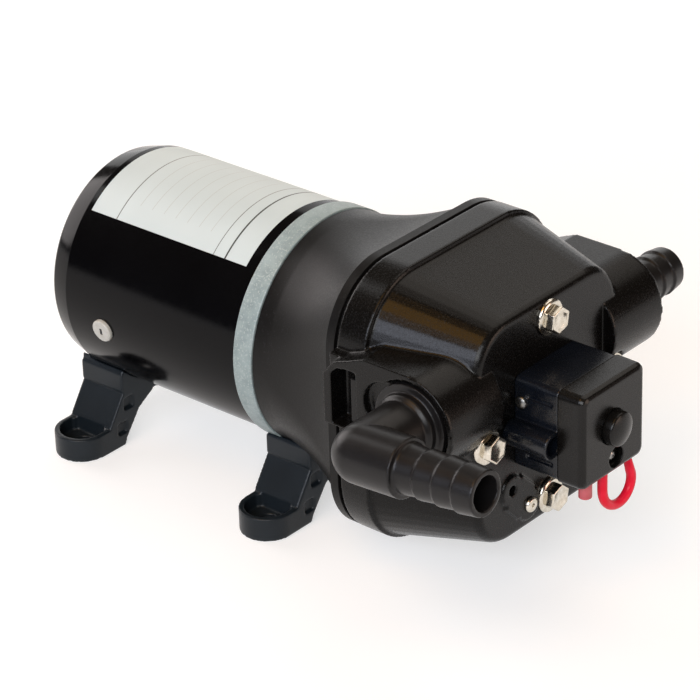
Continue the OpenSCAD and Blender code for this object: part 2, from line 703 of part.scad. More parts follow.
module pump_head() {
  body_w = head_w - 2 * flange_step;
  body_h = head_h - 2 * flange_step;
  color([0.13, 0.125, 0.12]) at_axis() difference() {
    union() {
      block_x(x_part, x_part + 0.5, head_w - 2.2, head_h - 2.2, flange_r - 1);
      block_x(x_part + 0.5, x_step, head_w, head_h, flange_r);
      hull() {
        block_x(x_step - 1, x_step - 0.99, body_w, body_h, flange_r - 3, $fn = 40);
        block_x(x_front - 1.81, x_front - 1.8, front_w + 1.2, front_h + 1, front_r + 0.4, $fn = 40);
      }
      hull() {
        block_x(x_front - 1.81, x_front - 1.8, front_w + 1.2, front_h + 1, front_r + 0.4, $fn = 40);
        block_x(x_front - 0.6, x_front - 0.59, front_w - 0.4, front_h - 0.4, front_r, $fn = 40);
        block_x(x_front - 0.01, x_front, front_w - 2.4, front_h - 2.4, front_r - 0.8, $fn = 40);
      }
      for (a = [0, 180]) on_pitch(a, bolt_pitch) rod_x(x_step, x_front, bolt_af / 2 + 2.6);
      intersection() {
        union() {
          port_side();
          mirror([0, 1, 0]) port_side();
        }
        translate([x_part, -100, -100]) cube([port_set + boss_r + 1, 200, 200]);
      }
      translate([x_front - 0.5, -11.2, -29.4]) rotate([0, 90, 0]) cylinder(h = 1.7, r = 5.4);
      translate([x_front - 0.5, -19.7, -20.8]) rotate([0, 90, 0]) cylinder(h = 1.7, r = 5);
      translate([x_front - 0.5, -15.45, -25.1]) rotate([45.3, 0, 0])
        translate([0, -6, -4.6]) cube([1.7, 12, 9.2]);
    }
    block_x(x_part - 1, x_gallery, pocket_w, pocket_w, flange_r - 4.8);
    // inlet gallery round the outlet chamber, with a sleeve round each bolt
    difference() {
      tube_x(x_gallery - 0.5, x_gallery + 11, pocket_w / 2 - 5.5, 24);
      for (a = [0, 90, 180, 270]) on_pitch(a, bolt_pitch)
        rod_x(x_gallery - 1, x_gallery + 12, bolt_d / 2 + 2.4);
    }
    rod_x(x_gallery - 0.5, x_gallery + 13, 21.3);
    rod_x(x_gallery + 12, x_front - 6, 10);
    translate([port_x - 8, 0, port_z]) rotate([90, 0, 0]) translate([0, 0, 27]) cylinder(h = 12, r = 4.4);
    translate([port_x + 0.5, 0, port_z]) rotate([-90, 0, 0]) cylinder(h = port_out - socket_l + 1, r = 4.8);
    translate([x_front - 8, adj_y, adj_z]) rotate([0, 90, 0]) cylinder(h = 9, r = 3 + fit_gap);
    for (m = [0, 1]) mirror([0, m, 0]) {
      port_cut(-1, 2.5, mouth_d / 2);
      port_slab(-1, 2.5) translate([port_x - 9.4, port_z + 3]) circle(8);
      port_cut(0, socket_l, socket_d / 2);
      clip_slot();
    }
    for (a = [0, 90, 180, 270]) on_pitch(a, bolt_pitch) {
      rod_x(x_part - 1, x_front + 1, bolt_d / 2 + fit_gap);
      rod_x(x_front, x_front + 9, bolt_af / 2 + 2.5);
    }
    translate([x_front - 9, -11.2, -29.4]) rotate([0, 90, 0]) cylinder(h = 12, r = screw_core + fit_gap);
    translate([x_front - 5, -19.7, -20.8]) rotate([0, 90, 0]) cylinder(h = 8, r = 1.7);
    for (m = [0, 180]) switch_screw_at(m) rod_x(x_front - 9, x_front + 1, screw_core + fit_gap);
  }
}

module head_bolts() {
  color([0.76, 0.74, 0.62]) at_axis() for (a = [0, 90, 180, 270]) on_pitch(a, bolt_pitch) {
    rod_x(x_part - 10, x_front, bolt_d / 2);
    rod_x(x_front, x_front + 1.3, bolt_af / 2 + 2);
    translate([x_front + 1.3, 0, 0]) rotate([0, 90, 0])
      cylinder(h = 0.9, r1 = bolt_af / 2 + 2, r2 = bolt_af / 2);
    translate([x_front + 1, 0, 0]) rotate([0, 90, 0]) rotate([0, 0, 20])
      cylinder(h = 3.5, r = bolt_af / sqrt(3), $fn = 6);
  }
}

module pad_screw() {
  color([0.8, 0.8, 0.8]) at_axis() translate([x_front + 1.2, -11.2, -29.4]) rotate([0, 90, 0]) difference() {
    union() {
      translate([0, 0, -9]) cylinder(h = 9.5, r = screw_core);
      cylinder(h = 1, r = 2.6);
      translate([0, 0, 1]) cylinder(h = 0.8, r1 = 2.6, r2 = 1.8);
    }
    translate([-0.4, -2, 1]) cube([0.8, 4, 2]);
    translate([-2, -0.4, 1]) cube([4, 0.8, 2]);
  }
}

// Pressure switch

module at_switch() { translate([0, switch_y, switch_z]) children(); }

module switch_screw_at(m) {
  at_switch() rotate([m, 0, 0]) translate([0, boss_y - switch_y, boss_z - switch_z]) children();
}

module micro_room(x0, x1) {
  translate([x0, micro_y, micro_z - 0.1]) cube([x1 - x0, lead_b + 0.8 - micro_y, micro_h + 0.4]);
}

module switch_base() {
  color([0.1, 0.115, 0.15]) at_axis() difference() {
    union() {
      at_switch() block_x(x_front, x_cover, switch_w, switch_h, 2.4);
      for (m = [0, 180]) switch_screw_at(m) rod_x(x_front, x_cover, 4.3);
      translate([x_front - 7.5, adj_y, adj_z]) rotate([0, 90, 0]) cylinder(h = 8, r = 3);
    }
    at_switch() block_x(wall_x, x_cover + 1, switch_w - 2 * switch_wall - 5, switch_h - 2 * switch_wall, 1.5);
    micro_room(micro_x - 0.3, x_cover + 1);
    translate([wall_x - 2.5, adj_y, adj_z]) rotate([0, 90, 0]) cylinder(h = 3, r = 7);
    translate([x_front - 9, adj_y, adj_z]) rotate([0, 90, 0]) cylinder(h = 12, r = 1.4);
    for (m = [0, 180]) switch_screw_at(m) {
      rod_x(x_front - 1, x_cover + 1, screw_core + fit_gap);
      rod_x(x_front + 7.5, x_cover + 1, 3);
    }
    translate([x_front + 2.6, switch_y - switch_w / 2 - 1, boss_z + 9.9]) rotate([-90, 0, 0])
      cylinder(h = 7, r = 1.2 + fit_gap);
    at_switch() for (z = [switch_h / 2 - 6.4, -switch_h / 2 + 4.6])
      translate([x_front + 4.4, -switch_w / 2 - 1, z]) cube([base_len - 6.6, 1.8, 1.4]);
  }
}

module switch_screws() {
  color([0.72, 0.73, 0.74]) at_axis() for (m = [0, 180]) switch_screw_at(m) {
    rod_x(x_front - 8, x_front + 8, screw_core);
    rod_x(x_front + 7.5, x_front + 9.5, 2.7);
  }
}

module base_screw() {
  color([0.8, 0.8, 0.8]) at_axis() translate([x_front + 2.6, switch_y - switch_w / 2, boss_z + 9.9])
    rotate([90, 0, 0]) {
    translate([0, 0, -5.5]) cylinder(h = 6, r = 1.2);
    cylinder(h = 0.7, r = 2.2);
    translate([0, 0, 0.7]) cylinder(h = 0.6, r1 = 2.2, r2 = 1.5);
  }
}

module at_adjuster(x) { translate([x, adj_y, adj_z]) rotate([0, 90, 0]) children(); }

module switch_membrane() {
  color([0.14, 0.14, 0.14]) at_axis() at_adjuster(wall_x) cylinder(h = membrane_t, r = membrane_r);
}

module switch_retainer() {
  color([0.8, 0.79, 0.74]) at_axis() at_adjuster(wall_x + membrane_t) difference() {
    cylinder(h = 2.4, r = membrane_r);
    translate([0, 0, -1]) cylinder(h = 5, r = 6.8);
    translate([0, -3, -1]) cube([20, 6, 5]);
  }
}

module plunger() {
  color([0.85, 0.84, 0.8]) at_axis() at_adjuster(wall_x + membrane_t + free_gap) {
    cylinder(h = 1.6, r = 6.4);
    cylinder(h = x_cover + 5 - wall_x - membrane_t - free_gap, r = 2);
    translate([4.5, -2.4, 0]) cube([adj_z - micro_z - micro_h / 2 - 3, 4.8, 1.6]);
    translate([adj_z - micro_z - micro_h / 2 - 1.6, -2.4, 0]) cube([3.2, 4.8, 3.4]);
  }
}

module switch_spring() {
  color([0.7, 0.71, 0.72]) at_axis() at_adjuster(wall_x + membrane_t + free_gap + 2.4)
    coil(spring_r, x_cover - wall_x - membrane_t - free_gap, 6, 0.5);
}

module microswitch() {
  color([0.08, 0.08, 0.09]) at_axis() difference() {
    translate([micro_x, micro_y, micro_z])
      cube([micro_end - micro_x, lead_b + 0.6 - micro_y, micro_h]);
    translate([micro_x - 1, adj_y, micro_z + micro_h / 2]) rotate([0, 90, 0])
      cylinder(h = 4, r = 1.2 + run_gap);
    at_cover_screw(micro_end - 4.2) cylinder(h = 6, r = 1 + fit_gap);
  }
}

module switch_button() {
  color([0.7, 0.2, 0.16]) at_axis() translate([micro_x, adj_y, micro_z + micro_h / 2]) rotate([0, 90, 0])
    translate([0, 0, -3.5]) cylinder(h = 3.5 + 1.5, r = 1.2);
}

module switch_cover() {
  color([0.115, 0.115, 0.12]) at_axis() difference() {
    at_switch() hull() {
      block_x(x_cover, x_cover + 0.01, switch_w + 0.8, switch_h + 0.8, 2.6, $fn = 40);
      block_x(x_end - 1.8, x_end - 1.79, switch_w + 0.6, switch_h + 0.6, 2.6, $fn = 40);
      block_x(x_end - 0.6, x_end - 0.59, switch_w - 0.4, switch_h - 0.4, 2.4, $fn = 40);
      block_x(x_end - 0.01, x_end, switch_w - 2.6, switch_h - 2.6, 2, $fn = 40);
    }
    at_switch() block_x(x_cover - 1, x_end - switch_wall, switch_w - 2 * switch_wall - 5,
      switch_h - 2 * switch_wall, 1.5);
    micro_room(x_cover - 1, x_end - switch_wall);
    at_adjuster(x_cover) cylinder(h = cover_len + 1, r = adjuster_d / 2 - 1.6 + run_gap);
    at_adjuster(x_end - 0.5) cylinder(h = 2, r = adjuster_d / 2 + free_gap);
    at_cover_screw(x_end - switch_wall - 0.01) cylinder(h = 4, r = 3.5);
    for (y = [lead_a, lead_b]) translate([term_x, y, bottom_z - 1])
      cylinder(h = micro_z - bottom_z + 1, r = lead_r + fit_gap);
    translate([term_x, sleeve_y, bottom_z - 1])
      cylinder(h = micro_z - bottom_z + 1, r = sleeve_r + fit_gap);
  }
}

module at_cover_screw(x) {
  translate([x, switch_y + 1.2, bottom_z + 4.9]) rotate([0, 90, 0]) children();
}

module cover_screw() {
  color([0.8, 0.8, 0.76]) at_axis() at_cover_screw(micro_end) {
    translate([0, 0, -4]) cylinder(h = 4.2, r = 1);
    cylinder(h = 0.8, r = 1.7);
  }
}

module adjuster() {
  color([0.1, 0.1, 0.105]) at_axis() difference() {
    union() {
      at_adjuster(x_cover + 3.2) cylinder(h = cover_len - 3, r = adjuster_d / 2 - 1.6);
      at_adjuster(x_end - 0.2) intersection() {
        cylinder(h = adjuster_h + 0.2, r = adjuster_d / 2);
        translate([0, 0, adjuster_h + 0.2 - dome_r]) sphere(dome_r);
      }
    }
    at_adjuster(x_cover) cylinder(h = 9, r = 2 + free_gap);
  }
}

module terminals() {
  color([0.78, 0.68, 0.4]) at_axis() for (y = [sleeve_y, lead_a, lead_b])
    translate([term_x - 1.2, y - 0.4, term_z]) cube([2.4, 0.8, micro_z - term_z]);
}

module terminal_sleeve() {
  color([0.74, 0.07, 0.06]) at_axis() translate([term_x, sleeve_y, sleeve_z]) {
    cylinder(h = term_z - sleeve_z, r = sleeve_r);
  }
}

// Stations of the lead as [y, z, heading], and the ring of points round one of them
function lead_bend(r, from, sweep, n) = [for (i = [0 : n]) let (a = from + sweep * i / n)
  [loop_y + r * cos(a), loop_z + r + r * sin(a), a + 90]];
function lead_ring(spot, sides) = [for (k = [0 : sides - 1]) let (b = 360 * k / sides)
  [term_x + lead_r * sin(b), spot[0] + lead_r * cos(b) * sin(spot[2]),
    spot[1] - lead_r * cos(b) * cos(spot[2])]];

module link_lead() {
  far_sweep = 90 + lead_lean;
  stations = concat([[lead_a, term_z, 270]], lead_bend(near_bend, 180, 75, 5),
    lead_bend(far_bend, 270, far_sweep, 8), [[lead_b, entry_z, 450 + lead_lean / 2], [lead_b, term_z, 450]]);
  color([0.74, 0.06, 0.05]) at_axis() swept([for (spot = stations) lead_ring(spot, 8)]);
}

// Ports and fittings

module at_port() { translate([port_x, 0, port_z]) rotate([90, 0, 0]) children(); }

module fitting_plug() {
  difference() {
    translate([0, 0, port_out - socket_l + 0.5]) cylinder(h = socket_l - 1, r = socket_d / 2 - run_gap);
    translate([0, 0, port_out - clip_in - clip_t - free_gap])
      ring_cut(clip_t + 2 * free_gap, clip_neck - free_gap);
    for (d = [11.6, 15.2]) translate([0, 0, port_out - d]) ring_cut(2.3, socket_d / 2 - 1.9);
  }
  translate([0, 0, port_out - 2.2]) cylinder(h = 2, r = flange_fit);
  translate([0, 0, port_out - 0.4]) cylinder(h = 2.4, r = fitting_d / 2 + 1.3);
  translate([0, 0, port_out + 2]) cylinder(h = 1.3, r1 = fitting_d / 2 + 1.3, r2 = fitting_d / 2);
}

module ring_cut(h, r) {
  difference() {
    cylinder(h = h, r = socket_d);
    translate([0, 0, -1]) cylinder(h = h + 2, r = r);
  }
}

module barbs(l, n) {
  for (i = [0 : n - 1]) translate([0, 0, l / n * i])
    cylinder(h = l / n, r1 = tail_d / 2, r2 = tail_d / 2 - 0.7);
}

module inlet_elbow() {
  color([0.15, 0.15, 0.155]) at_axis() at_port() rotate([0, 0, elbow_turn]) difference() {
    union() {
      fitting_plug();
      translate([0, 0, port_out + 3]) cylinder(h = elbow_out - 3, r = fitting_d / 2);
      translate([0, 0, port_out + elbow_out]) sphere(fitting_d / 2);
      translate([0, 0, port_out + elbow_out]) rotate([0, 90, 0]) {
        cylinder(h = elbow_leg, r = fitting_d / 2);
        translate([0, 0, elbow_leg]) barbs(tail_l, 4);
      }
    }
    translate([0, 0, port_out - socket_l]) cylinder(h = socket_l + elbow_out, r = tail_bore / 2);
    translate([0, 0, port_out + elbow_out]) sphere(tail_bore / 2);
    translate([0, 0, port_out + elbow_out]) rotate([0, 90, 0])
      cylinder(h = elbow_leg + tail_l + 1, r = tail_bore / 2);
  }
}

module outlet_tail() {
  color([0.15, 0.15, 0.155]) at_axis() mirror([0, 1, 0]) at_port() difference() {
    union() {
      fitting_plug();
      translate([0, 0, port_out + 3]) cylinder(h = 4.4, r = fitting_d / 2);
      translate([0, 0, port_out + 7]) cylinder(h = 2, r1 = fitting_d / 2, r2 = tail_d / 2);
      translate([0, 0, port_out + 8]) barbs(outlet_l, 3);
    }
    translate([0, 0, port_out - socket_l]) cylinder(h = socket_l + 8 + outlet_l + 1, r = tail_bore / 2);
  }
}

module seal_rings() {
  for (d = [11.6, 15.2]) translate([0, 0, port_out - d + 1.15]) rotate_extrude()
    translate([socket_d / 2 - 1.9 + 0.92, 0]) circle(0.92);
}

module inlet_rings() { color([0.06, 0.06, 0.06]) at_axis() at_port() seal_rings(); }

module outlet_rings() { color([0.06, 0.06, 0.06]) at_axis() mirror([0, 1, 0]) at_port() seal_rings(); }

module slide_clip() {
  port_slab(clip_in, clip_in + clip_t) difference() {
    union() {
      translate([tab_x, port_z - clip_tail_w / 2]) square([port_x - fork_back + 1 - tab_x, clip_tail_w]);
      translate([port_x - fork_back, port_z - fork_w / 2]) square([fork_back + fork_front, fork_w]);
    }
    translate([port_x, port_z]) circle(clip_neck);
    translate([port_x + clip_travel, port_z]) circle(socket_d / 2 + free_gap);
    translate([port_x, port_z]) polygon([[0, clip_neck], [clip_travel, socket_d / 2 + free_gap],
      [clip_travel, -socket_d / 2 - free_gap], [0, -clip_neck]]);
  }
  port_slab(1.6, clip_in + 0.5) translate([tab_x, port_z - clip_tail_w / 2]) square([tab_l, clip_tail_w]);
}

module inlet_clip() { color([0.2, 0.2, 0.205]) at_axis() slide_clip(); }

module outlet_clip() { color([0.2, 0.2, 0.205]) at_axis() mirror([0, 1, 0]) slide_clip(); }

// Feet

module foot_bracket(seat_r) {
  hole_y = foot_pitch_y / 2;
  rim_r = foot_w / 2;
  base = -axis_h;
  difference() {
    union() {
      intersection() {
        tube_x(-rim_r, rim_r, seat_r + strap_t, seat_r);
        translate([-rim_r, -27.4, -seat_r - strap_t - 1]) cube([foot_w, 54.8, seat_r]);
      }
      for (m = [0, 1]) mirror([0, m, 0]) {
        rotate([90, 0, 90]) translate([0, 0, -rim_r]) linear_extrude(foot_w) difference() {
          polygon([[27.4, -seat_r + 11], [27.4, -36], [hole_y - 4.4, base + pad_h + 0.8],
            [hole_y - 4.4, base + pad_h], [hole_y - 4.4, base], [hole_y - 11, base],
            [hole_y - 12, base + 2.4], [20.5, -45], [13, -40.6]]);
          circle(seat_r + strap_t / 2);
        }
        translate([0, 0, base]) linear_extrude(pad_h) {
          translate([0, hole_y]) circle(rim_r);
          translate([-rim_r, hole_y - 6]) square([foot_w, 6]);
        }
      }
    }
    rod_x(-rim_r - 1, rim_r + 1, seat_r);
    for (m = [0, 1]) mirror([0, m, 0]) {
      translate([0, 0, base + pad_floor]) linear_extrude(pad_h) {
        translate([0, hole_y]) circle(rim_r - 1.9);
        translate([-rim_r + 1.9, hole_y - 3]) square([foot_w - 3.8, 3]);
      }
      translate([0, hole_y, base - 1]) cylinder(h = pad_floor + 3, r = foot_hole_d / 2);
      for (x = [-rim_r - 1, rim_r - 1.2]) {
        translate([x, 23.2, -43.2]) cube([2.2, 4.6, 4.6]);
        translate([x, hole_y - 12.2, base + 4.4]) cube([2.2, 4.4, 4.4]);
      }
    }
    translate([0, 0, -seat_r - strap_t - 1]) cylinder(h = strap_t + 3, r = screw_core + fit_gap);
  }
}

module front_foot() {
  color([0.055, 0.055, 0.06]) at_axis() translate([foot_lead, 0, 0]) foot_bracket(front_seat_r);
}

module rear_foot() {
  color([0.055, 0.055, 0.06]) at_axis() translate([foot_lead - foot_pitch_x, 0, 0])
    foot_bracket(can_r + fit_gap);
}

module foot_screws() {
  color([0.72, 0.73, 0.74]) at_axis() {
    translate([foot_lead, 0, -front_seat_r - strap_t]) saddle_screw(strap_t + 2.4);
    translate([foot_lead - foot_pitch_x, 0, -can_r - fit_gap - strap_t])
      saddle_screw(strap_t + can_wall - 0.4);
  }
}

module saddle_screw(l) {
  cylinder(h = l, r = screw_core);
  translate([0, 0, -2]) cylinder(h = 2, r = 3);
}

motor_can();
can_screws();
rear_bearing();
front_bearing();
inner_races();
magnets();
brush_plate();
brushes();
brush_springs();
end_plate();
plate_screws();
shaft();
armature_core();
windings();
commutator();
cam();
wobble_bearing();
wobble_plate();
pistons();
piston_screws();
diaphragm();
drive_housing();
valve_plate();
inlet_valves();
outlet_valve();
head_seal();
pump_head();
head_bolts();
pad_screw();
switch_base();
switch_screws();
base_screw();
switch_membrane();
switch_retainer();
plunger();
switch_spring();
microswitch();
switch_button();
switch_cover();
cover_screw();
adjuster();
terminals();
terminal_sleeve();
link_lead();
inlet_elbow();
inlet_rings();
inlet_clip();
outlet_tail();
outlet_rings();
outlet_clip();
front_foot();
rear_foot();
foot_screws();
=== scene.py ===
import math

import bmesh
import bpy
from mathutils import Matrix, Vector


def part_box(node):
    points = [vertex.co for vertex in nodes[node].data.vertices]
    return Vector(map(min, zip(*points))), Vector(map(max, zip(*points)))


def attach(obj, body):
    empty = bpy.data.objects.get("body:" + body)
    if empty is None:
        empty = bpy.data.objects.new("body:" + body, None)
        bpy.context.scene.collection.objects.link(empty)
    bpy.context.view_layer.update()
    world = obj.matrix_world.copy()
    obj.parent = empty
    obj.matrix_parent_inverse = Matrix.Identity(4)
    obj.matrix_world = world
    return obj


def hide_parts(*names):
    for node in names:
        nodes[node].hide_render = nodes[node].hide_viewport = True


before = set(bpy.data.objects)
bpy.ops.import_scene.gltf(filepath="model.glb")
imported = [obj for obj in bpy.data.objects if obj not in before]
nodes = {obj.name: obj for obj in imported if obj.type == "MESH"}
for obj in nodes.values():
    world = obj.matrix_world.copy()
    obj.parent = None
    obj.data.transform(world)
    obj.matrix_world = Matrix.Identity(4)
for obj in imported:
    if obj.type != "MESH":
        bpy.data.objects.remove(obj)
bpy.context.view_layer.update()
scene = bpy.context.scene
mm = 0.001

# Camera
# A long lens looks from the front left, a little above the pump. It is shifted so that the pump stands in
# the picture where the photograph has it. Places are measured from the end plate on the motor axis.
plate_t = 7.9
plate_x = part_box("drive_housing")[0].x / mm - plate_t
axis_z = (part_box("end_plate")[0].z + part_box("end_plate")[1].z) / 2 / mm


def spot(x, y, z):
    """A place in metres, from millimetres along, across and above the motor axis at the end plate."""
    return Vector((plate_x + x, y, axis_z + z)) * mm


aim = spot(0, 0, 0)
camera_far = 1.1002
az, el, roll = (math.radians(a) for a in (41.78, 27.586, -2.075))
back = Vector((math.sin(az) * math.cos(el), -math.cos(az) * math.cos(el), math.sin(el)))
level = Vector((0, 0, 1)).cross(back).normalized()
upright = back.cross(level)
right = math.cos(roll) * level + math.sin(roll) * upright
above = math.cos(roll) * upright - math.sin(roll) * level
facing = Matrix((right, above, back)).transposed().to_4x4()
camera = bpy.data.objects.new("camera", bpy.data.cameras.new("camera"))
camera.data.sensor_width = 36
camera.data.lens = 173.63
camera.data.shift_x = 0.0511
camera.data.shift_y = -0.0442
camera.data.clip_end = 30
camera.matrix_world = Matrix.Translation(aim + back * camera_far) @ facing
scene.collection.objects.link(camera)
scene.camera = camera
scene.view_settings.view_transform = "Standard"

# Link lead
# One red insulated wire joins two blades of the switch. It hangs in an open loop below the cover: a wide
# near bend, a tighter far bend, and a far limb that leans back to the cover.


def finish(name, dark, light, patch, rough, grain, bump, metallic=0.0, specular=0.5, flecks=None):
    """A node material: two tones in soft patches, grain in the gloss and the surface, optional flecks.

    Patch and grain are noise scales, rough is the least and most roughness, and flecks are a tone, a noise
    scale and the share of the surface that they cover.
    """
    made = bpy.data.materials.new(name)
    made.use_nodes = True
    tree = made.node_tree
    shader = tree.nodes["Principled BSDF"]
    shader.inputs["Metallic"].default_value = metallic
    shader.inputs["Specular IOR Level"].default_value = specular
    place = tree.nodes.new("ShaderNodeTexCoord")

    def noise(scale, detail):
        node = tree.nodes.new("ShaderNodeTexNoise")
        node.inputs["Scale"].default_value = scale
        node.inputs["Detail"].default_value = detail
        tree.links.new(place.outputs["Object"], node.inputs["Vector"])
        return node

    def ramp(source, low, high, first, last):
        node = tree.nodes.new("ShaderNodeValToRGB")
        node.color_ramp.elements[0].position = low
        node.color_ramp.elements[1].position = high
        node.color_ramp.elements[0].color = (*first, 1)
        node.color_ramp.elements[1].color = (*last, 1)
        tree.links.new(source, node.inputs["Fac"])
        return node.outputs["Color"]

    colour = ramp(noise(patch, 4).outputs["Fac"], 0.32, 0.68, dark, light)
    fine = noise(grain, 3)
    if flecks:
        tone, size, share = flecks
        mixed = tree.nodes.new("ShaderNodeMix")
        mixed.data_type = "RGBA"
        mixed.inputs["B"].default_value = (*tone, 1)
        spots = ramp(noise(size, 1).outputs["Fac"], 1 - share, 1 - share + 0.06, (0, 0, 0), (1, 1, 1))
        tree.links.new(spots, mixed.inputs["Factor"])
        tree.links.new(colour, mixed.inputs["A"])
        colour = mixed.outputs["Result"]
    tree.links.new(colour, shader.inputs["Base Color"])
    gloss = tree.nodes.new("ShaderNodeMapRange")
    gloss.inputs["From Min"].default_value = 0.3
    gloss.inputs["From Max"].default_value = 0.7
    gloss.inputs["To Min"].default_value = rough[0]
    gloss.inputs["To Max"].default_value = rough[1]
    tree.links.new(fine.outputs["Fac"], gloss.inputs["Value"])
    tree.links.new(gloss.outputs["Result"], shader.inputs["Roughness"])
    relief = tree.nodes.new("ShaderNodeBump")
    relief.inputs["Strength"].default_value = bump
    relief.inputs["Distance"].default_value = 0.1 * mm
    tree.links.new(fine.outputs["Fac"], relief.inputs["Height"])
    tree.links.new(relief.outputs["Normal"], shader.inputs["Normal"])
    return made


red_sheath = finish("red_sheath", (0.88, 0.008, 0.034), (0.95, 0.020, 0.060), 260, (0.28, 0.38), 1800, 0.08,
                    specular=0.22)
lead_x, lead_near, lead_top, lead_r = 118.2, -2.2, -12.9, 1.6
loop_low, near_bend, far_bend, lean = -29.4, 8.6, 6.4, math.radians(24.6)
entry_z = -14.7
loop_y = lead_near + near_bend


def bend(centre_y, centre_z, radius, first, sweep, count):
    """Points on an arc of the lead, without its first one."""
    turns = [first + sweep * i / count for i in range(1, count + 1)]
    return [(centre_y + radius * math.cos(a), centre_z + radius * math.sin(a)) for a in turns]


path = [(lead_near, lead_top), (lead_near, lead_top - 3), (lead_near, loop_low + near_bend)]
path += bend(loop_y, loop_low + near_bend, near_bend, math.pi, math.pi / 2, 10)
path += bend(loop_y, loop_low + far_bend, far_bend, 1.5 * math.pi, math.pi / 2 + lean, 12)
limb_l = (entry_z - path[-1][1]) / math.cos(lean)
lead_far = path[-1][0] - limb_l * math.sin(lean)
ease = far_bend * math.tan(lean / 2)
path += bend(lead_far - far_bend, entry_z + ease, far_bend, lean, -lean, 5)
path.append((lead_far, lead_top))
route = [spot(lead_x, y, z) for y, z in path]
wire = bpy.data.curves.new("red_link_lead", "CURVE")
wire.dimensions = "3D"
wire.bevel_depth = lead_r * mm
wire.bevel_resolution = 7
line = wire.splines.new("POLY")
line.points.add(len(route) - 1)
for point, place in zip(line.points, route):
    point.co = (*place, 1)
wire.materials.append(red_sheath)
lead = bpy.data.objects.new("red_link_lead", wire)
scene.collection.objects.link(lead)
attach(lead, "frame")
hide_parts("link_lead")

# Terminal sleeve
# A short soft sleeve of paler red covers the third blade of the switch. It is pushed on from below, and its
# open end shows under the cover.


def revolve(bm, outline, axis, centre, steps):
    """Spins an outline of (along, radius, corner rounding) in millimetres round an axis into a mesh."""
    axis = Vector(axis).normalized()
    reach = axis.orthogonal().normalized()
    known = set(bm.verts)
    points = [bm.verts.new(centre + axis * a * mm + reach * r * mm) for a, r, _ in outline]
    for first, second in zip(points, points[1:]):
        bm.edges.new((first, second))
    for point, (_, _, rounding) in zip(points, outline):
        if rounding:
            bmesh.ops.bevel(bm, geom=[point], offset=rounding * mm, segments=5, profile=0.5,
                            affect="VERTICES", material=-1)
    fresh = [v for v in bm.verts if v not in known]
    edges = list({e for v in fresh for e in v.link_edges})
    bmesh.ops.spin(bm, geom=fresh + edges, cent=centre, axis=axis, angle=2 * math.pi, steps=steps,
                   use_merge=True, use_duplicate=False)
    bmesh.ops.remove_doubles(bm, verts=bm.verts[:], dist=0.001 * mm)
    bmesh.ops.recalc_face_normals(bm, faces=bm.faces[:])


def placed(name, bm, material, body, soft=35):
    """Makes an object of a finished mesh, smooth but for edges sharper than soft degrees."""
    mesh = bpy.data.meshes.new(name)
    bm.to_mesh(mesh)
    bm.free()
    for face in mesh.polygons:
        face.use_smooth = True
    mesh.set_sharp_from_angle(angle=math.radians(soft))
    mesh.materials.append(material)
    piece = bpy.data.objects.new(name, mesh)
    scene.collection.objects.link(piece)
    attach(piece, body)
    return piece


def turned(name, outline, material, body, axis=(1, 0, 0), centre=aim, steps=128, soft=35):
    """One turned piece on a body."""
    bm = bmesh.new()
    revolve(bm, outline, axis, centre, steps)
    return placed(name, bm, material, body, soft)


sleeve_pink = finish("sleeve_pink", (0.52, 0.075, 0.095), (0.60, 0.12, 0.14), 260, (0.3, 0.42), 1800, 0.08)
sleeve_y, sleeve_low, sleeve_floor, sleeve_r, sleeve_bore = -11.0, -19.3, -16.4, 2.15, 1.35
sleeve = turned("terminal_sleeve_tube", [
    (sleeve_floor, 0, 0), (sleeve_floor, sleeve_bore, 0), (sleeve_low, sleeve_bore, 0.3),
    (sleeve_low, sleeve_r, 0.35), (lead_top, sleeve_r, 0), (lead_top, 0, 0)],
    sleeve_pink, "frame", axis=(0, 0, 1), centre=spot(lead_x, sleeve_y, 0), steps=48)
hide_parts("terminal_sleeve")

# Motor can
# A deep drawn steel can, painted gloss black, with a creased and rounded rear edge and a cup for the rear
# bearing. It slips over the spigot of the end plate, and two side screws hold the brush gear in it.
can_paint = finish("black_can_paint", (0.0014, 0.0014, 0.0018), (0.0022, 0.0022, 0.0027), 30, (0.12, 0.18),
                   500, 0.015, specular=0.13)
can_r, can_rear, sheet = 39.0, -84.2, 2.0
cup_rear, cup_r, bearing_r = -89.0, 13.0, 11.05
crease = can_rear + 9.2
can = turned("motor_can_shell", [
    (cup_rear + sheet, 0, 0), (cup_rear + sheet, bearing_r, 0.3), (can_rear + sheet, bearing_r, 0.4),
    (can_rear + sheet, can_r - 6.0, 1.5), (crease - 0.6, can_r - sheet, 1.2), (0, can_r - sheet, 0.3),
    (0, can_r, 0.5), (crease, can_r, 0.2), (can_rear + 1.4, can_r - 2.1, 1.0),
    (can_rear, can_r - 4.2, 1.0), (can_rear, cup_r, 1.2), (cup_rear, cup_r, 1.6), (cup_rear, 0, 0)],
    can_paint, "frame", steps=192)
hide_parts("motor_can")

# Label
# A white vinyl rating label, wrapped over the top of the can. It is left blank, with only the ruled lines
# of an empty form, and it lies a hair's breadth proud of the paint.
label_rear, label_front, label_near, label_far = -72.75, -4.35, 133, 36
label_r, vinyl = can_r + 0.06, 0.04


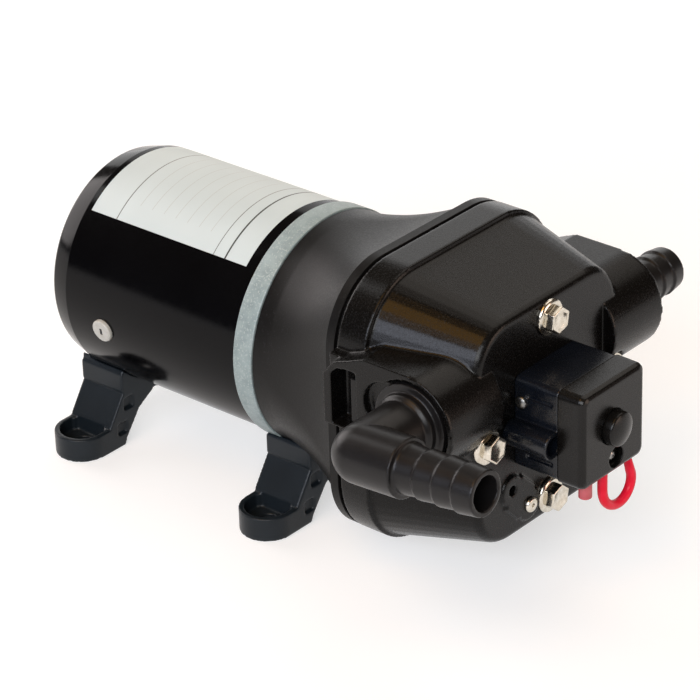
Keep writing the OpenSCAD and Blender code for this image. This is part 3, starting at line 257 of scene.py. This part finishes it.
def label_paper():
    """Off-white vinyl with thin ruled lines across the label, at places along the motor axis."""
    made = bpy.data.materials.new("label_vinyl")
    made.use_nodes = True
    tree = made.node_tree
    shader = tree.nodes["Principled BSDF"]
    shader.inputs["Roughness"].default_value = 0.38
    shader.inputs["Specular IOR Level"].default_value = 0.4
    place = tree.nodes.new("ShaderNodeTexCoord")
    split = tree.nodes.new("ShaderNodeSeparateXYZ")
    tree.links.new(place.outputs["Object"], split.inputs["Vector"])
    mottle = tree.nodes.new("ShaderNodeTexNoise")
    mottle.inputs["Scale"].default_value = 45
    tree.links.new(place.outputs["Object"], mottle.inputs["Vector"])
    paper = tree.nodes.new("ShaderNodeValToRGB")
    paper.color_ramp.elements[0].color = (0.50, 0.565, 0.565, 1)
    paper.color_ramp.elements[1].color = (0.57, 0.635, 0.635, 1)
    tree.links.new(mottle.outputs["Fac"], paper.inputs["Fac"])
    colour = paper.outputs["Color"]

    def near(value, middle, half):
        node = tree.nodes.new("ShaderNodeMath")
        node.operation = "COMPARE"
        node.inputs[1].default_value = middle * mm
        node.inputs[2].default_value = half * mm
        tree.links.new(value, node.inputs[0])
        return node.outputs["Value"]

    bold, plain, faint = (0.04, 0.045, 0.04), (0.16, 0.17, 0.16), (0.42, 0.44, 0.42)
    full, form = (0, 60), (-4, 17)
    rules = [(-61.35, 0.2, plain, full), (-18.55, 0.16, plain, full), (-13.55, 0.32, bold, full)]
    rules += [(-55.5 + 5.2 * i, 0.09, faint, form) for i in range(7)]
    for x, half, tone, (middle, reach) in rules:
        both = tree.nodes.new("ShaderNodeMath")
        both.operation = "MULTIPLY"
        tree.links.new(near(split.outputs["X"], plate_x + x, half), both.inputs[0])
        tree.links.new(near(split.outputs["Y"], middle, reach), both.inputs[1])
        ink = tree.nodes.new("ShaderNodeMix")
        ink.data_type = "RGBA"
        ink.inputs["B"].default_value = (*tone, 1)
        tree.links.new(both.outputs["Value"], ink.inputs["Factor"])
        tree.links.new(colour, ink.inputs["A"])
        colour = ink.outputs["Result"]
    tree.links.new(colour, shader.inputs["Base Color"])
    return made


bm = bmesh.new()
start = math.radians(label_near)
ends = [bm.verts.new(spot(x, label_r * math.cos(start), label_r * math.sin(start)))
        for x in (label_rear, label_front)]
bm.edges.new(ends)
bmesh.ops.spin(bm, geom=bm.verts[:] + bm.edges[:], cent=aim, axis=(1, 0, 0),
               angle=math.radians(label_far - label_near), steps=64, use_merge=False, use_duplicate=False)
bmesh.ops.recalc_face_normals(bm, faces=bm.faces[:])
if sum(f.normal.dot(f.calc_center_median() - aim) for f in bm.faces) < 0:
    bmesh.ops.reverse_faces(bm, faces=bm.faces[:])
bmesh.ops.solidify(bm, geom=bm.faces[:], thickness=vinyl * mm)
placed("rating_label", bm, label_paper(), "frame", 40)

# Can screws
# Two pale coated steel screws through the side of the can hold the brush plate. Each has a wide flat head
# with a short slot, and its shank ends in the plate. The slot is a near-black block set into the head,
# painted shade for the hollow of the slot.
pale_coat = finish("pale_screw_coat", (0.44, 0.435, 0.39), (0.52, 0.515, 0.48), 500, (0.35, 0.5), 2600, 0.1)
# Near-black finish for the screw slots: painted shade, not the coating's own colour.
slot_painted_shade = finish("slot_painted_shade", (0.01, 0.01, 0.01), (0.02, 0.02, 0.02), 500, (0.6, 0.7), 2600, 0.1)
brush_x, shank_end, shank_r, head_seat, head_face, head_r = -59.0, 36.0, 1.8, 38.7, 40.2, 4.0
slot_w, slot_l, slot_d = 1.1, 2.4, 0.5
for side, angle in (("far", 10), ("near", 190)):
    out = Vector((0, math.cos(math.radians(angle)), math.sin(math.radians(angle))))
    seat = spot(brush_x, 0, 0)
    head = turned("can_screw_" + side, [
        (shank_end, 0, 0), (shank_end, shank_r, 0), (head_seat, shank_r, 0), (head_seat, head_r, 0),
        (head_face, head_r, 0.55), (head_face, 0, 0)],
        pale_coat, "frame", axis=out, centre=seat, steps=64)
    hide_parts("can_screws")
    # The slot block carries painted shade in place of the slot's shaded hollow.
    bm = bmesh.new()
    across = Vector((1, 0, 0)).cross(out)
    turn = Matrix((Vector((1, 0, 0)), across, out)).transposed().to_4x4()
    size = Matrix.Diagonal((slot_w * mm, slot_l * mm, slot_d * mm, 1))
    middle = Matrix.Translation(seat + out * (head_face - 0.2) * mm)
    bmesh.ops.create_cube(bm, size=1, matrix=middle @ turn @ size)
    bmesh.ops.bevel(bm, geom=bm.edges[:], offset=0.12 * mm, segments=2, profile=0.5, affect="EDGES",
                    material=-1)
    placed("can_screw_slot_shade_" + side, bm, slot_painted_shade, "frame")

# End plate
# A thick steel disc, coated with pale spangled zinc, closes the front of the can and carries the front
# bearing. Only its rim shows, as a ring between the can and the drive housing.
zinc_rim = finish("zinc_rim", (0.225, 0.285, 0.285), (0.30, 0.365, 0.365), 300, (0.38, 0.55), 1500, 0.1,
                  metallic=0.15, flecks=((0.36, 0.42, 0.42), 1500, 0.42))
plate_r, plate_rear, plate_bore, bearing_stop = 39.9, 0.2, 8.5, 0.9
spigot_rear, spigot_in, spigot_out = -3.0, 34.8, 36.9
plate = turned("end_plate_disc", [
    (bearing_stop, plate_bore, 0), (plate_rear, plate_bore, 0), (plate_rear, spigot_in, 0),
    (spigot_rear, spigot_in, 0), (spigot_rear, spigot_out, 0.4), (plate_rear, spigot_out, 0),
    (plate_rear, plate_r, 0.45), (plate_t, plate_r, 0.45), (plate_t, bearing_r, 0.2),
    (bearing_stop, bearing_r, 0), (bearing_stop, plate_bore, 0)],
    zinc_rim, "frame", steps=192)
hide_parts("end_plate")

# Drive housing
# A flared moulding of glass filled resin runs from the round end plate to the square flange of the head,
# with the wobble drive in its bore. Four screws hold it to the end plate from behind.


def lofted(name, sections, material, body, steps=24, soft=30):
    """Joins rounded rectangles of (along, width, height, corner radius) into a ring, last to first."""
    bm = bmesh.new()
    loops = []
    for x, wide, high, corner in sections:
        known = set(bm.edges)
        corners = [(-1, -1), (1, -1), (1, 1), (-1, 1)]
        posts = [bm.verts.new(spot(x, a * wide / 2, b * high / 2)) for a, b in corners]
        for i in range(4):
            bm.edges.new((posts[i - 1], posts[i]))
        bmesh.ops.bevel(bm, geom=posts, offset=corner * mm, segments=steps, profile=0.5,
                        affect="VERTICES", material=-1)
        loops.append([e for e in bm.edges if e not in known])
    for first, second in zip(loops, loops[1:] + loops[:1]):
        bmesh.ops.bridge_loops(bm, edges=first + second)
    bmesh.ops.recalc_face_normals(bm, faces=bm.faces[:])
    return placed(name, bm, material, body, soft)


resin_dark, resin_light = (0.0024, 0.0021, 0.0019), (0.0038, 0.0034, 0.0031)
matt_resin = finish("matt_resin", resin_dark, resin_light, 60, (0.34, 0.48), 1700, 0.24, specular=0.18,
                    flecks=((0.010, 0.010, 0.0105), 1700, 0.36))
flare_start, flare_end, x_part = 13.0, 44.9, 49.5
round_w, rim_w, rim_h, bore = 79.0, 93.0, 94.2, 73.4
round_r, rim_r, bore_r = 39.45, 24.8, bore / 2 - 0.05
flare_w, flare_h, flare_steps = rim_w - 3.6, rim_h - 3.6, 20
sections = [(plate_t, round_w - 0.8, round_w - 0.8, round_r - 0.4),
            (plate_t + 0.4, round_w, round_w, round_r)]
for i in range(flare_steps + 1):
    share = i / flare_steps
    swell = share ** 2.2
    sections.append((flare_start + (flare_end - flare_start) * share, round_w + (flare_w - round_w) * swell,
                     round_w + (flare_h - round_w) * swell, round_r + (rim_r - round_r) * share))
sections += [(flare_end + 0.3, rim_w - 1.6, rim_h - 1.6, rim_r), (flare_end + 0.9, rim_w, rim_h, rim_r),
             (x_part - 0.6, rim_w, rim_h, rim_r), (x_part - 0.5, rim_w - 0.3, rim_h - 0.3, rim_r),
             (x_part - 0.45, rim_w - 2.2, rim_h - 2.2, rim_r - 1),
             (x_part, rim_w - 2.2, rim_h - 2.2, rim_r - 1),
             (x_part, bore, bore, bore_r), (plate_t, bore, bore, bore_r)]
housing = lofted("drive_housing_shell", sections, matt_resin, "frame")
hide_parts("drive_housing")

# Pump head
# The square head of the same resin tapers to its front face. A barrel on each side takes a hose fitting,
# and four bolts pull it with the valve plate and the diaphragm against the drive housing.
glass_resin = finish("glass_filled_resin", resin_dark, resin_light, 60, (0.20, 0.33), 1700, 0.22,
                     specular=0.21, flecks=((0.009, 0.009, 0.0095), 1700, 0.36))
piece_limit = 190000


def moulding(name, node, voxel, rounds, material, body, wedges=()):
    """A copy of a CAD moulding with its facets and hard edges softened as moulded edges are.

    Wedges are (from, to, outline across the axis) of solid that is moulded in one with it.
    """
    bm = bmesh.new()
    bm.from_mesh(nodes[node].data)
    bmesh.ops.remove_doubles(bm, verts=bm.verts[:], dist=0.002 * mm)
    for first, last, outline in wedges:
        rim = bm.faces.new([bm.verts.new(spot(first, y, z)) for y, z in outline])
        grown = bmesh.ops.extrude_face_region(bm, geom=[rim], use_keep_orig=True)["geom"]
        far_rim = [v for v in grown if isinstance(v, bmesh.types.BMVert)]
        bmesh.ops.translate(bm, verts=far_rim, vec=((last - first) * mm, 0, 0))
    if wedges:
        bmesh.ops.recalc_face_normals(bm, faces=bm.faces[:])
    piece = placed(name, bm, material, body, 180)
    remesh = piece.modifiers.new("skin", "REMESH")
    remesh.mode = "VOXEL"
    remesh.voxel_size = voxel * mm
    remesh.use_smooth_shade = True
    settle = piece.modifiers.new("settle", "SMOOTH")
    settle.factor = 0.5
    settle.iterations = rounds

    def settled():
        evaluated = piece.evaluated_get(bpy.context.evaluated_depsgraph_get())
        before = piece.data
        piece.data = bpy.data.meshes.new_from_object(evaluated)
        piece.modifiers.clear()
        bpy.data.meshes.remove(before)
        return sum(len(f.vertices) - 2 for f in piece.data.polygons)

    triangles = settled()
    if triangles > piece_limit:
        thin = piece.modifiers.new("thin", "DECIMATE")
        thin.ratio = piece_limit / triangles
        settled()
    piece.data.name = name
    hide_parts(node)


moulding("pump_head_casting", "pump_head", 0.5, 3, glass_resin, "frame")

# Head bolts
# Four bright zinc bolts with hexagon heads and wide dished flanges sit in a diamond on the front face, and
# reach through the head into the drive housing.
bright_zinc = finish("bright_zinc", (0.60, 0.55, 0.46), (0.74, 0.70, 0.62), 700, (0.14, 0.24), 2600, 0.03,
                     metallic=1.0)
x_front, bolt_pitch, bolt_r, bolt_end = 95.9, 31.3, 2.5, x_part - 10
flange_r, flange_top, hex_r, hex_h, hex_turn = 6.0, x_front + 1.5, 4.62, 3.5, math.radians(20)
along = Matrix.Rotation(math.pi / 2, 4, "Y") @ Matrix.Rotation(hex_turn, 4, "Z")
bm = bmesh.new()
for across, up in ((1, 0), (0, 1), (-1, 0), (0, -1)):
    seat = spot(0, across * bolt_pitch, up * bolt_pitch)
    revolve(bm, [(bolt_end, 0, 0), (bolt_end, bolt_r, 0.5), (x_front, bolt_r, 0), (x_front, flange_r, 0.15),
                 (x_front + 0.9, flange_r, 0.4), (flange_top, flange_r - 0.9, 0.5), (flange_top, 0, 0)],
            (1, 0, 0), seat, 48)
    known = set(bm.verts)
    middle = Matrix.Translation(seat + Vector(((x_front + 2.9) * mm, 0, 0)))
    bmesh.ops.create_cone(bm, cap_ends=True, segments=6, radius1=hex_r * mm, radius2=hex_r * mm,
                          depth=hex_h * mm, matrix=middle @ along)
    fresh = [v for v in bm.verts if v not in known]
    sides = list({e for v in fresh for e in v.link_edges})
    bmesh.ops.bevel(bm, geom=sides, offset=0.3 * mm, segments=3, profile=0.5, affect="EDGES", material=-1)
    top = max((f for f in bm.faces if (f.calc_center_median() - seat).yz.length < 0.2 * mm),
              key=lambda f: f.calc_center_median().x)
    bmesh.ops.inset_individual(bm, faces=[top], thickness=0.5 * mm, depth=0)
    bmesh.ops.inset_individual(bm, faces=[top], thickness=0.6 * mm, depth=-0.35 * mm)
bmesh.ops.recalc_face_normals(bm, faces=bm.faces[:])
bolts = placed("head_bolt_set", bm, bright_zinc, "frame")
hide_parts("head_bolts")

# Small screws
# Zinc coated steel screws. One sits on the raised pad of the front face, one in the side of the switch base,
# and one on the microswitch behind the round hole of the cover. Hidden ones keep their own shape. The
# darkened zinc of the base and cover screws is partly painted shade, for the deep shaded hole in front of
# the cover's screw.


def dress(material, *names):
    """Gives CAD nodes that keep their own shape this finish."""
    for name in names:
        nodes[name].data.materials.clear()
        nodes[name].data.materials.append(material)


def small_screw(node, material, out, place, head_r, core, deep, drive, rise, crown):
    """A round headed screw with a drive hole. Rise and crown are the flat top's height and reach."""
    top, hole = head_r * rise, head_r * 0.2
    screw = turned(node + "_dome", [
        (-deep, 0, 0), (-deep, core, 0.3), (0, core, 0), (0, head_r, 0.15),
        (head_r * 0.3, head_r, head_r * 0.2), (top, head_r * crown, head_r * 0.12 / crown), (top, drive, 0),
        (hole, drive * 0.7, 0), (hole, 0, 0)],
        material, "frame", axis=out, centre=spot(*place), steps=48)
    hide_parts(node)


# Dull zinc, darker than the metal's own tone: partly painted shade for the cover's deep screw hole.
dull_zinc_and_painted_shade = finish("dull_zinc_and_painted_shade", (0.20, 0.20, 0.20), (0.28, 0.28, 0.27), 700, (0.26, 0.38), 2600, 0.05,
                   metallic=1.0)
switch_y, switch_half = -1.7, 15.5
pad_place, cover_place = (x_front + 1.2, -11.2, -29.4), (119.8, -0.5, -8.6)
base_place = (x_front + 2.6, switch_y - switch_half, 9.9)
small_screw("pad_screw", bright_zinc, (1, 0, 0), pad_place, 2.6, 1.5, 9.0, 0.7, 0.5, 0.78)
small_screw("base_screw", dull_zinc_and_painted_shade, (0, -1, 0), base_place, 2.2, 1.2, 5.5, 0.5, 0.62, 0.45)
small_screw("cover_screw", dull_zinc_and_painted_shade, (1, 0, 0), cover_place, 1.7, 1.0, 4.0, 0.4, 0.62, 0.45)
dress(dull_zinc_and_painted_shade, "switch_screws", "foot_screws", "plate_screws", "piston_screws")

# Pressure switch
# A small switch of black resin is screwed to the front face. Its base of bluish resin holds the membrane,
# and its cover the microswitch with a red button.
blue_resin = finish("switch_base_resin", (0.0026, 0.0038, 0.0066), (0.0044, 0.0060, 0.0098), 120,
                    (0.20, 0.30), 2600, 0.06, specular=0.42)
cover_resin = finish("switch_cover_resin", (0.0032, 0.0028, 0.0025), (0.0050, 0.0045, 0.0041), 120,
                     (0.20, 0.30), 2600, 0.08, specular=0.25, flecks=((0.009, 0.009, 0.0092), 1700, 0.34))
moulding("switch_base_box", "switch_base", 0.3, 2, blue_resin, "frame")
moulding("switch_cover_cap", "switch_cover", 0.3, 3, cover_resin, "frame")
dress(cover_resin, "microswitch")
dress(red_sheath, "switch_button")

# Pressure adjuster
# A domed knob of the cover's resin turns in the cover and presses on the switch spring. The plunger runs in
# its blind bore.
x_end, knob_y, knob_z = 122.1, -2.1, 2.8
knob_r, knob_h, dome_h, knob_under = 5.65, 4.4, 1.3, -0.2
neck_end, neck_r, knob_bore, bore_floor = -6.6, 4.05, 2.3, -0.8
dome_r = (knob_r ** 2 + dome_h ** 2) / (2 * dome_h)
dome = [(knob_h - r * r / (2 * dome_r), r, 0.5 if r == knob_r else 0) for r in (knob_r, 4.4, 3.1, 1.6, 0)]
knob = turned("adjuster_knob", [
    (bore_floor, 0, 0), (bore_floor, knob_bore, 0), (neck_end, knob_bore, 0.2), (neck_end, neck_r, 0.3),
    (knob_under, neck_r, 0), (knob_under, knob_r, 0.1)] + dome,
    cover_resin, "adjuster_body", centre=spot(x_end, knob_y, knob_z), steps=64, soft=40)
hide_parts("adjuster")

# Hose fittings
# A barbed elbow and a straight barbed tail of smooth resin push into the barrels. Each is sealed by two
# rings and held by a flat clip that slides across its groove.
fitting_resin = finish("fitting_resin", (0.0062, 0.0056, 0.0057), (0.0086, 0.0078, 0.0080), 90, (0.28, 0.40),
                       2400, 0.06, specular=0.28)
clip_resin = finish("clip_resin", (0.0034, 0.0032, 0.0032), (0.0052, 0.0050, 0.0050), 120, (0.3, 0.42), 2400,
                    0.07, specular=0.25)
moulding("inlet_elbow_body", "inlet_elbow", 0.36, 3, fitting_resin, "inlet")
moulding("outlet_tail_body", "outlet_tail", 0.36, 3, fitting_resin, "outlet")
moulding("inlet_clip_slide", "inlet_clip", 0.25, 2, clip_resin, "inlet_lock")
moulding("outlet_clip_slide", "outlet_clip", 0.25, 2, clip_resin, "outlet_lock")

# Feet
# Two moulded rubber saddles carry the motor. Each has a strap that hugs the can or the drive housing, held
# by a screw from below, and two legs with rimmed pads for the screws to the floor. The dark rubber's blue
# tint is a painted reflection of cool light from the near side.
# Dark rubber with a painted blue sheen: the blue in the colour stands in for reflected cool light.
foot_rubber = finish("foot_rubber", (0.0072, 0.0104, 0.0135), (0.0104, 0.0146, 0.0188), 80, (0.30, 0.42),
                     1800, 0.08, specular=0.24)
leg_heel = [(34.6, -53.0), (34.6, -46.9), (30.0, -39.94), (30.0, -53.0)]
strap_lip = [(28.2, -29.2), (28.2, -36.2), (26.6, -36.2), (26.6, -30.6)]
foot_half, heel_half = 9.4, 7


def strap_lining(inner, outer):
    """The outline of the lining under one end of a strap, between two radii."""
    across = (27.3, 24, 20, 16)
    near_motor = [(y, -math.sqrt(inner ** 2 - y ** 2)) for y in across]
    in_strap = [(y, -math.sqrt(outer ** 2 - y ** 2)) for y in reversed(across)]
    return near_motor + in_strap


saddles = (("front_saddle", "front_foot", 11.7, 41.8, ((-foot_half, -3.8, 39.95), (-3.8, foot_half, 39.55))),
           ("rear_saddle", "rear_foot", -71.8, 40.3, ((-foot_half, -6.4, 38.2), (-6.4, -4.4, 38.7))))
for name, node, middle, strap_r, linings in saddles:
    prisms = [(-heel_half, heel_half, leg_heel), (-foot_half, foot_half, strap_lip)]
    prisms += [(first, last, strap_lining(inner, strap_r)) for first, last, inner in linings]
    wedges = [(middle + first, middle + last, [(side * y, z) for y, z in outline])
              for first, last, outline in prisms for side in (1, -1)]
    moulding(name, node, 0.45, 3, foot_rubber, "frame", wedges)

# Inside of the motor
# Steel ball bearings, ferrite magnets bonded in the can, the armature of stacked sheets with its copper
# windings and commutator, and the brush gear on its board. All are hidden by the can.
bearing_steel = finish("bearing_steel", (0.50, 0.50, 0.52), (0.66, 0.66, 0.68), 300, (0.18, 0.3), 3000, 0.05,
                       metallic=1.0)
ferrite = finish("ferrite", (0.035, 0.035, 0.038), (0.06, 0.06, 0.065), 200, (0.6, 0.75), 1500, 0.3)
brown_board = finish("brown_board", (0.12, 0.06, 0.025), (0.19, 0.10, 0.045), 150, (0.5, 0.65), 1500, 0.2)
carbon = finish("carbon", (0.016, 0.016, 0.018), (0.03, 0.03, 0.032), 300, (0.5, 0.7), 2500, 0.2)
copper = finish("copper", (0.42, 0.16, 0.06), (0.62, 0.27, 0.11), 400, (0.25, 0.4), 1800, 0.3, metallic=0.9)
brass = finish("brass", (0.50, 0.38, 0.15), (0.66, 0.52, 0.24), 400, (0.25, 0.4), 1800, 0.1, metallic=0.9)
sheet_stack = finish("sheet_stack", (0.16, 0.16, 0.17), (0.26, 0.26, 0.27), 900, (0.4, 0.55), 2500, 0.3,
                     metallic=0.85)
dress(bearing_steel, "rear_bearing", "front_bearing", "inner_races", "wobble_bearing", "shaft",
      "switch_spring")
dress(ferrite, "magnets")
dress(brown_board, "brush_plate")
dress(carbon, "brushes")
dress(copper, "windings", "commutator")
dress(brass, "brush_springs", "terminals")
dress(sheet_stack, "armature_core")

# Inside of the pump
# The tilted cam of light alloy on the shaft with its wobble plate, the white resin pistons and valve plate,
# the rubber diaphragm, valves and sealing rings, and the switch's moving pieces.
light_alloy = finish("light_alloy", (0.32, 0.33, 0.35), (0.46, 0.47, 0.49), 200, (0.35, 0.5), 1500, 0.2,
                     metallic=0.9)
white_resin = finish("white_resin", (0.58, 0.56, 0.49), (0.70, 0.68, 0.62), 120, (0.4, 0.52), 2200, 0.1)
seal_rubber = finish("seal_rubber", (0.010, 0.010, 0.011), (0.018, 0.018, 0.019), 150, (0.5, 0.65), 1800,
                     0.2)
dress(light_alloy, "cam", "wobble_plate")
dress(white_resin, "pistons", "valve_plate", "switch_retainer", "plunger")
dress(seal_rubber, "diaphragm", "inlet_valves", "outlet_valve", "head_seal", "switch_membrane",
      "inlet_rings", "outlet_rings")

# Floor and light
# A plain white floor in a dim warm room, with large soft lamps. The floor glows a little for the camera and
# for reflections, so that it reads as white paper and still takes the pump's shadow.
floor_half, floor_drop, floor_glow = 6, 0.2, 0.55
bm = bmesh.new()
bmesh.ops.create_grid(bm, x_segments=1, y_segments=1, size=floor_half)
ground = bpy.data.meshes.new("floor")
bm.to_mesh(ground)
bm.free()
floor = bpy.data.objects.new("floor", ground)
floor.location.z = -floor_drop * mm
paper = finish("floor_paper", (0.52, 0.52, 0.52), (0.53, 0.53, 0.53), 3, (0.85, 0.9), 40, 0.0, specular=0.1)
ground.materials.append(paper)
floor_tree = paper.node_tree
floor_shader = floor_tree.nodes["Principled BSDF"]
rays = floor_tree.nodes.new("ShaderNodeLightPath")
seen = rays.outputs["Is Camera Ray"]
for kind in ("Is Glossy Ray", "Is Transmission Ray"):
    either = floor_tree.nodes.new("ShaderNodeMath")
    either.operation = "MAXIMUM"
    floor_tree.links.new(seen, either.inputs[0])
    floor_tree.links.new(rays.outputs[kind], either.inputs[1])
    seen = either.outputs["Value"]
glow_share = floor_tree.nodes.new("ShaderNodeMath")
glow_share.operation = "MULTIPLY"
glow_share.inputs[1].default_value = floor_glow
floor_tree.links.new(seen, glow_share.inputs[0])
floor_shader.inputs["Emission Color"].default_value = (1, 1, 1, 1)
floor_tree.links.new(glow_share.outputs["Value"], floor_shader.inputs["Emission Strength"])
scene.collection.objects.link(floor)
room = bpy.data.worlds.new("room")
scene.world = room
room.use_nodes = True
sky = room.node_tree
where = sky.nodes.new("ShaderNodeTexCoord")
height = sky.nodes.new("ShaderNodeSeparateXYZ")
tone = sky.nodes.new("ShaderNodeValToRGB")
tone.color_ramp.elements[0].position = 0.0
tone.color_ramp.elements[0].color = (0.055, 0.052, 0.055, 1)
tone.color_ramp.elements[1].position = 0.9
tone.color_ramp.elements[1].color = (0.13, 0.10, 0.065, 1)
sky.links.new(where.outputs["Generated"], height.inputs["Vector"])
sky.links.new(height.outputs["Z"], tone.inputs["Fac"])
sky.links.new(tone.outputs["Color"], sky.nodes["Background"].inputs["Color"])


def lamp(name, place, watts, size, colour=(1, 1, 1)):
    """A square soft lamp that faces the pump."""
    light = bpy.data.lights.new(name, "AREA")
    light.energy = watts
    light.size = size
    light.color = colour
    holder = bpy.data.objects.new(name, light)
    holder.location = place
    holder.rotation_euler = (aim - Vector(place)).to_track_quat("-Z", "Y").to_euler()
    scene.collection.objects.link(holder)


lamp("ceiling", (0.1, 0.8, 1.65), 10, 1.5, (1.0, 0.93, 0.86))
lamp("window", (-1.3, 1.5, 0.62), 11, 1.6)
lamp("left_wall", (-1.7, -0.1, 0.70), 16, 1.2, (1.0, 0.94, 0.93))
lamp("high_left", (-0.95, -0.22, 1.2), 1.3, 0.35)
lamp("near_window", (0.0, -1.65, 0.85), 14, 0.8, (0.80, 0.85, 1.0))
lamp("right_wall", (1.9, 0.7, 0.3), 9, 0.9, (1.0, 0.74, 0.60))
lamp("amber_shade", (0.04, -0.72, 1.3), 4.2, 0.65, (1.0, 0.52, 0.12))
lamp("front", (0.95, -1.45, 1.0), 22, 1.0, (0.95, 0.97, 1.0))
